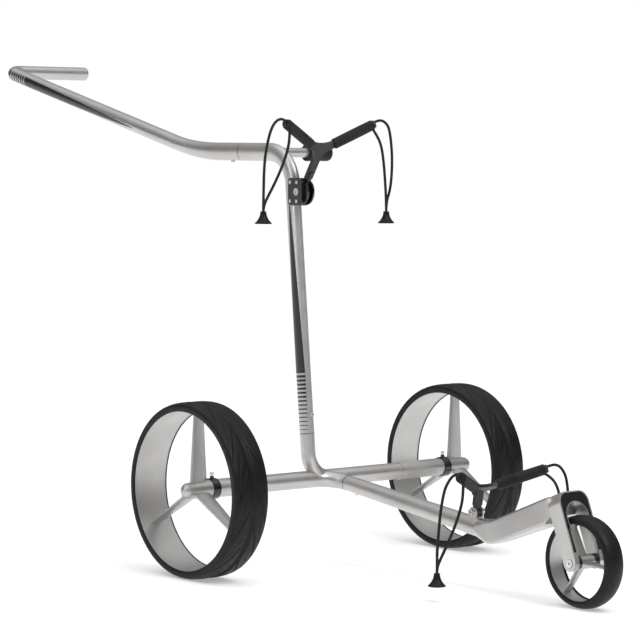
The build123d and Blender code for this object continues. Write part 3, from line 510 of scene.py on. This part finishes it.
def build_tyre(name, node, rim, turns, shoulder, power, body, tread_cut=None):
    """Tyre over its rim; tread_cut(angle, across, half_width, radius) gives depth removed."""
    low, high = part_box(node)
    rim_low, rim_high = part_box(rim)
    centre = (low + high) / 2
    radius = (high.z - low.z) / 2
    half_width = (high.x - low.x) / 2
    lip = half_width - (rim_high.x - rim_low.x) / 2
    seat = (rim_high.z - rim_low.z) / 2
    bore = seat - BEAD_IN
    profile = tyre_profile(radius, half_width, bore, seat, lip, shoulder, power)

    def place(r, c):
        angle = 2 * math.pi * r / turns
        across, height, tread = profile[c]
        if tread_cut and tread:
            height -= tread * tread_cut(angle, across, half_width, radius)
        return centre + Vector(
            (across, height * math.sin(angle), height * math.cos(angle))
        )

    mesh = grid_mesh(name, turns, len(profile), place, True, True)
    add_piece(name, mesh, tyre_rubber, body, "tyre_rubber", node)
    mesh.set_sharp_from_angle(angle=math.radians(50))


SWEEPS = 13                 # swept grooves on each side of the channel
CHANNEL_DEPTH = 3.2 * MM
CHANNEL_REACH = 7.5 * MM
SWEEP_DEPTH = 1.9 * MM
CREASE_DEPTH = 0.8 * MM
CREASE_REACH = 1.6 * MM


def swept_tread(angle, across, half_width, radius):
    """Wide middle channel and long curved grooves that sweep out to both shoulders."""
    pitch = 2 * math.pi / SWEEPS
    reach = abs(across) / half_width
    channel = CHANNEL_DEPTH * groove(across, CHANNEL_REACH)
    bend = 0.55 * reach**0.6 + 0.2 * reach * reach
    phase = (angle + bend + (0.5 * pitch if across > 0 else 0.0)) % pitch
    distance = min(phase, pitch - phase) * radius * 0.5
    sweep_reach = (1.2 + 2.6 * reach) * MM
    sweep = SWEEP_DEPTH * groove(distance, sweep_reach) * smoothstep(0.05, 0.2, reach)
    crease = (phase + 0.36 * pitch + 0.15 * reach) % pitch
    crease_distance = min(crease, pitch - crease) * radius * 0.5
    fine = CREASE_DEPTH * groove(crease_distance, CREASE_REACH) * smoothstep(0.25, 0.5, reach)
    return max(channel, sweep, fine)


REAR_TURNS = 900
FRONT_TURNS = 240
REAR_SHOULDER = 8.0 * MM
REAR_SQUARENESS = 3.4
FRONT_SHOULDER = 9.0 * MM
FRONT_SQUARENESS = 2.1
for side in ("left", "right"):
    build_tyre(
        f"tread_{side}", f"rear_tyre_{side}", f"rear_rim_{side}", REAR_TURNS,
        REAR_SHOULDER, REAR_SQUARENESS, f"rear_wheel_{side}", swept_tread,
    )
build_tyre(
    "front_tread", "front_tyre", "front_rim", FRONT_TURNS,
    FRONT_SHOULDER, FRONT_SQUARENESS, "front_wheel",
)


def lathe(name, start, end, profile, segments, ripple=0.0, ribs=0):
    """Turned shape about the line from start to end; profile is (share along, radius)."""
    axis = end - start
    direction = axis.normalized()
    side = direction.orthogonal().normalized()
    other = direction.cross(side)

    def place(r, c):
        angle = 2 * math.pi * r / segments
        share, radius = profile[c]
        radius += ripple * math.cos(angle * ribs) if ripple and 0.04 < share < 0.96 else 0.0
        spoke = side * math.cos(angle) + other * math.sin(angle)
        return start + axis * share + spoke * radius

    return grid_mesh(name, segments, len(profile), place, True, True)


def sleeve_profile(radius, inner, length, end_round, steps, swell):
    """Foam sleeve: rounded ends and a slight swell in the middle."""
    outline = [(0.0, inner)]
    for index in range(5):
        angle = math.pi / 2 * index / 4
        outline.append(
            (
                end_round * (1 - math.cos(angle)) / length,
                radius - end_round + end_round * math.sin(angle),
            )
        )
    for index in range(1, steps):
        share = index / steps
        wave = swell * math.sin(math.pi * share)
        along_share = end_round / length + share * (1 - 2 * end_round / length)
        outline.append((along_share, radius - swell + wave))
    for index in range(5):
        angle = math.pi / 2 * (4 - index) / 4
        outline.append(
            (
                1 - end_round * (1 - math.cos(angle)) / length,
                radius - end_round + end_round * math.sin(angle),
            )
        )
    outline.append((1.0, inner))
    return outline


SLEEVE_FROM = 0.26
SLEEVE_TO = 0.97
SLEEVE_IN_R = 5.2 * MM
SLEEVE_ROUND = 2.2 * MM
SLEEVE_SWELL = 0.25 * MM
SLEEVE_STEPS = 24
SLEEVE_SEGMENTS = 96
RIB_HEIGHT = 0.12 * MM
RIBS = 24
for (level, side), (root, tip, along) in arms.items():
    span = tip - root
    start = root + span * SLEEVE_FROM
    end = root + span * SLEEVE_TO
    length = (end - start).length
    outline = sleeve_profile(
        SLEEVE_OUT_R, SLEEVE_IN_R, length, SLEEVE_ROUND, SLEEVE_STEPS, SLEEVE_SWELL
    )
    mesh = lathe(
        f"foam_{level}_{side}", start, end, outline, SLEEVE_SEGMENTS, RIB_HEIGHT, RIBS
    )
    add_piece(
        f"foam_{level}_{side}", mesh, foam, f"{level}_rack", "grip_foam",
        f"{level}_sleeve_{side}",
    )

# ---------------------------------------------------------------- stripes and seams on the tubes
STRIPE_LIFT = 0.15 * MM
PATCH_COLUMNS = 20


def tube_patch(name, stations, material, turn=0.0, slot="frame_silver"):
    """Thin skin on a tube. Each station is centre, outward and sideways directions, the two
    half-sizes of the section, and the half-angle that the skin covers about outward."""
    def place(r, c):
        centre, out, side, half_out, half_side, cover = stations[r]
        angle = cover * (2 * c / (PATCH_COLUMNS - 1) - 1) - turn
        return (
            centre
            + out * ((half_out + STRIPE_LIFT) * math.cos(angle))
            + side * ((half_side + STRIPE_LIFT) * math.sin(angle))
        )

    mesh = grid_mesh(name, len(stations), PATCH_COLUMNS, place, False, False)
    return add_piece(name, mesh, material, "chassis", slot)


MAST_LEAN = math.radians(5.7)
mast_up = Vector((0, math.sin(MAST_LEAN), math.cos(MAST_LEAN)))
mast_ahead = Vector((0, -math.cos(MAST_LEAN), math.sin(MAST_LEAN)))
mast_low, mast_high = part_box("mast_tube")
mast_x = (mast_low.x + mast_high.x) / 2
mast_half = (mast_high.x - mast_low.x) / 2
MAST_DEEP = 16.0 * MM        # half the depth of the mast from front to back
cart_right = Vector((-1, 0, 0))


def mast_station(height, cover):
    """Section of the mast at a height above the axle, measured along the mast."""
    centre = Vector((mast_x, axle.y, axle.z)) + mast_up * height
    return (centre, cart_right, mast_ahead, mast_half, MAST_DEEP, cover)


FULL_COVER = math.radians(50)
LEAST_COVER = 0.02
STRIPE_ROWS = 40


def add_stripe(name, station, foot, tip, taper, turn=0.0):
    """Stripe at full width at the foot that narrows to a point at the tip."""
    rows = []
    for i in range(STRIPE_ROWS):
        share = i / (STRIPE_ROWS - 1)
        cover = max(LEAST_COVER, FULL_COVER * (1 - share) ** taper)
        rows.append(station(foot + (tip - foot) * share, cover))
    tube_patch(name, rows, stripe_black, turn)


def add_bar(name, station, start, thick, turn=0.0):
    rows = [station(start + thick * j / 2, FULL_COVER) for j in range(3)]
    tube_patch(name, rows, stripe_black, turn)


STRIPE_TIP = 494 * MM
STRIPE_FOOT = 186 * MM
BARS_FOOT = 84 * MM
add_stripe("mast_stripe", mast_station, STRIPE_FOOT, STRIPE_TIP, 0.8)
MAST_BARS = 14
MAST_BAR_SHARE = 0.62       # share of the pitch that the first bar fills
MAST_BAR_THIN = 0.036       # share lost from each bar to the next
bar_pitch = (STRIPE_FOOT - BARS_FOOT) / MAST_BARS
for index in range(MAST_BARS):
    top = STRIPE_FOOT - bar_pitch * (index + 0.45)
    thick = bar_pitch * (MAST_BAR_SHARE - MAST_BAR_THIN * index)
    add_bar(f"mast_bar_{index + 1}", mast_station, top, -thick)

# Handle: the long climb and the bend into the grip bar.
HANDLE_RISE = math.radians(14.0)
GRIP_BEND_R = 24.0 * MM
handle_low, handle_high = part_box("handle_tube")
HANDLE_R = 13.2 * MM
handle_dir = Vector((0, math.cos(HANDLE_RISE), math.sin(HANDLE_RISE)))
handle_up = Vector((0, -math.sin(HANDLE_RISE), math.cos(HANDLE_RISE)))
STRIPE_TURN = math.radians(16)      # the stripe's middle lies this far below the tube's side
grip_corner = Vector((handle_low.x + HANDLE_R, handle_high.y - HANDLE_R, handle_high.z - HANDLE_R))
bend_start = grip_corner - handle_dir * GRIP_BEND_R
bend_middle = bend_start - cart_right * GRIP_BEND_R


def handle_station(distance, cover):
    """Section of the handle at a distance past the start of the grip bend, or before it."""
    if distance <= 0:
        centre = bend_start + handle_dir * distance
        return (centre, cart_right, handle_up, HANDLE_R, HANDLE_R, cover)
    angle = distance / GRIP_BEND_R
    out = cart_right * math.cos(angle) + handle_dir * math.sin(angle)
    centre = bend_middle + out * GRIP_BEND_R
    return (centre, out, handle_up, HANDLE_R, HANDLE_R, cover)


HANDLE_TIP = -418 * MM
HANDLE_BARS_FROM = -46 * MM
add_stripe("handle_stripe", handle_station, HANDLE_BARS_FROM, HANDLE_TIP, 0.75, STRIPE_TURN)
HANDLE_BARS = 9
HANDLE_PITCH = 7.6 * MM
HANDLE_BAR_SHARE = 0.6
HANDLE_BAR_THIN = 0.035
for index in range(HANDLE_BARS):
    start = HANDLE_BARS_FROM + HANDLE_PITCH * (index + 0.5)
    thick = HANDLE_PITCH * (HANDLE_BAR_SHARE - HANDLE_BAR_THIN * index)
    add_bar(f"handle_bar_{index + 1}", handle_station, start, thick, STRIPE_TURN)

# Fine dark joints where the tubes plug together.
SEAM_W = 1.4 * MM
MAST_SEAM = 80 * MM
tube_patch(
    "mast_joint_line",
    [mast_station(MAST_SEAM + SEAM_W * (j - 0.5), math.pi) for j in range(2)],
    stripe_black,
)
handle_seam_y = mast_high.y
level_z = mast_high.z - MAST_DEEP
seam_up = Vector((0, 0, 1))
tube_patch(
    "handle_joint_line",
    [
        (Vector((mast_x, handle_seam_y + SEAM_W * (j - 0.5), level_z)), cart_right, seam_up,
         mast_half, MAST_DEEP, math.pi)
        for j in range(2)
    ],
    stripe_black,
)
FRONT_DROP = math.radians(7.0)
FRONT_SEAM = 47 * MM
front_dir = Vector((0, -math.cos(FRONT_DROP), -math.sin(FRONT_DROP)))
front_up = Vector((0, -math.sin(FRONT_DROP), math.cos(FRONT_DROP)))
SEAM_R = 13.55 * MM
tube_patch(
    "front_joint_line",
    [
        (axle + front_dir * (FRONT_SEAM + SEAM_W * (j - 0.5)), cart_right, front_up,
         SEAM_R, SEAM_R, math.pi)
        for j in range(2)
    ],
    stripe_black,
)

# ---------------------------------------------------------------- floor and light
floor_mesh = bpy.data.meshes.new("floor")
FLOOR = 60.0
FLOOR_GLOW = 0.36           # lifts the floor to the white of the world behind it
floor_mesh.from_pydata(
    [(-FLOOR, -FLOOR, 0), (FLOOR, -FLOOR, 0), (FLOOR, FLOOR, 0), (-FLOOR, FLOOR, 0)],
    [],
    [(0, 1, 2, 3)],
)
floor = bpy.data.objects.new("floor", floor_mesh)
bpy.context.scene.collection.objects.link(floor)
floor_mat = Mat("floor_paper", roughness=0.9, Specular_IOR_Level=0.1)
floor_mat.colour(floor_mat.ramp(floor_mat.noise(3.0), grey(0.90), grey(0.92)))
floor_mat.set(floor_mat.shader, "Emission Color", (1.0, 1.0, 1.0, 1.0))
floor_mat.set(floor_mat.shader, "Emission Strength", FLOOR_GLOW)
floor_mesh.materials.append(floor_mat.material)

bpy.context.scene.view_settings.view_transform = "Standard"


def studio_world():
    """White to the eye; reflections see a grey room that is brighter overhead."""
    world = bpy.data.worlds.new("studio")
    world.use_nodes = True
    tree = world.node_tree
    room = tree.nodes["Background"]
    coords = tree.nodes.new("ShaderNodeTexCoord")
    split = tree.nodes.new("ShaderNodeSeparateXYZ")
    tree.links.new(coords.outputs["Generated"], split.inputs["Vector"])
    ramp = tree.nodes.new("ShaderNodeValToRGB")
    tree.links.new(split.outputs["Z"], ramp.inputs["Fac"])
    ramp.color_ramp.elements[0].position = 0.02
    ramp.color_ramp.elements[0].color = (0.07, 0.07, 0.07, 1)
    ramp.color_ramp.elements[1].position = 0.85
    ramp.color_ramp.elements[1].color = (0.62, 0.62, 0.61, 1)
    middle_stop = ramp.color_ramp.elements.new(0.32)
    middle_stop.color = (0.17, 0.17, 0.17, 1)
    tree.links.new(ramp.outputs["Color"], room.inputs["Color"])
    room.inputs["Strength"].default_value = 1.0
    seen = tree.nodes.new("ShaderNodeBackground")
    seen.inputs["Color"].default_value = (1, 1, 1, 1)
    seen.inputs["Strength"].default_value = 1.0
    path = tree.nodes.new("ShaderNodeLightPath")
    mix = tree.nodes.new("ShaderNodeMixShader")
    tree.links.new(path.outputs["Is Camera Ray"], mix.inputs["Fac"])
    tree.links.new(room.outputs["Background"], mix.inputs[1])
    tree.links.new(seen.outputs["Background"], mix.inputs[2])
    tree.links.new(mix.outputs["Shader"], tree.nodes["World Output"].inputs["Surface"])
    bpy.context.scene.world = world


studio_world()


def area_light(name, place, aim, size, power):
    data = bpy.data.lights.new(name, "AREA")
    data.shape = "RECTANGLE"
    data.size, data.size_y = size
    data.energy = power
    light = bpy.data.objects.new(name, data)
    bpy.context.scene.collection.objects.link(light)
    light.location = place
    light.rotation_euler = (Vector(aim) - Vector(place)).to_track_quat("-Z", "Y").to_euler()
    return light


def sun_light(name, direction, strength, spread_deg):
    data = bpy.data.lights.new(name, "SUN")
    data.energy = strength
    data.angle = math.radians(spread_deg)
    light = bpy.data.objects.new(name, data)
    bpy.context.scene.collection.objects.link(light)
    light.rotation_euler = Vector(direction).to_track_quat("-Z", "Y").to_euler()
    return light


middle = ground + Vector((0, 0, 0.45))
sun_light("overhead", (0.1, 0.15, -1.0), 0.9, 90)
area_light("key", middle + right * 1.5 + back * 2.0 + Vector((0, 0, 2.2)), middle, (0.7, 1.8), 30)
area_light("fill", middle - right * 2.2 + back * 1.4 + Vector((0, 0, 0.9)), middle, (0.5, 1.8), 9)
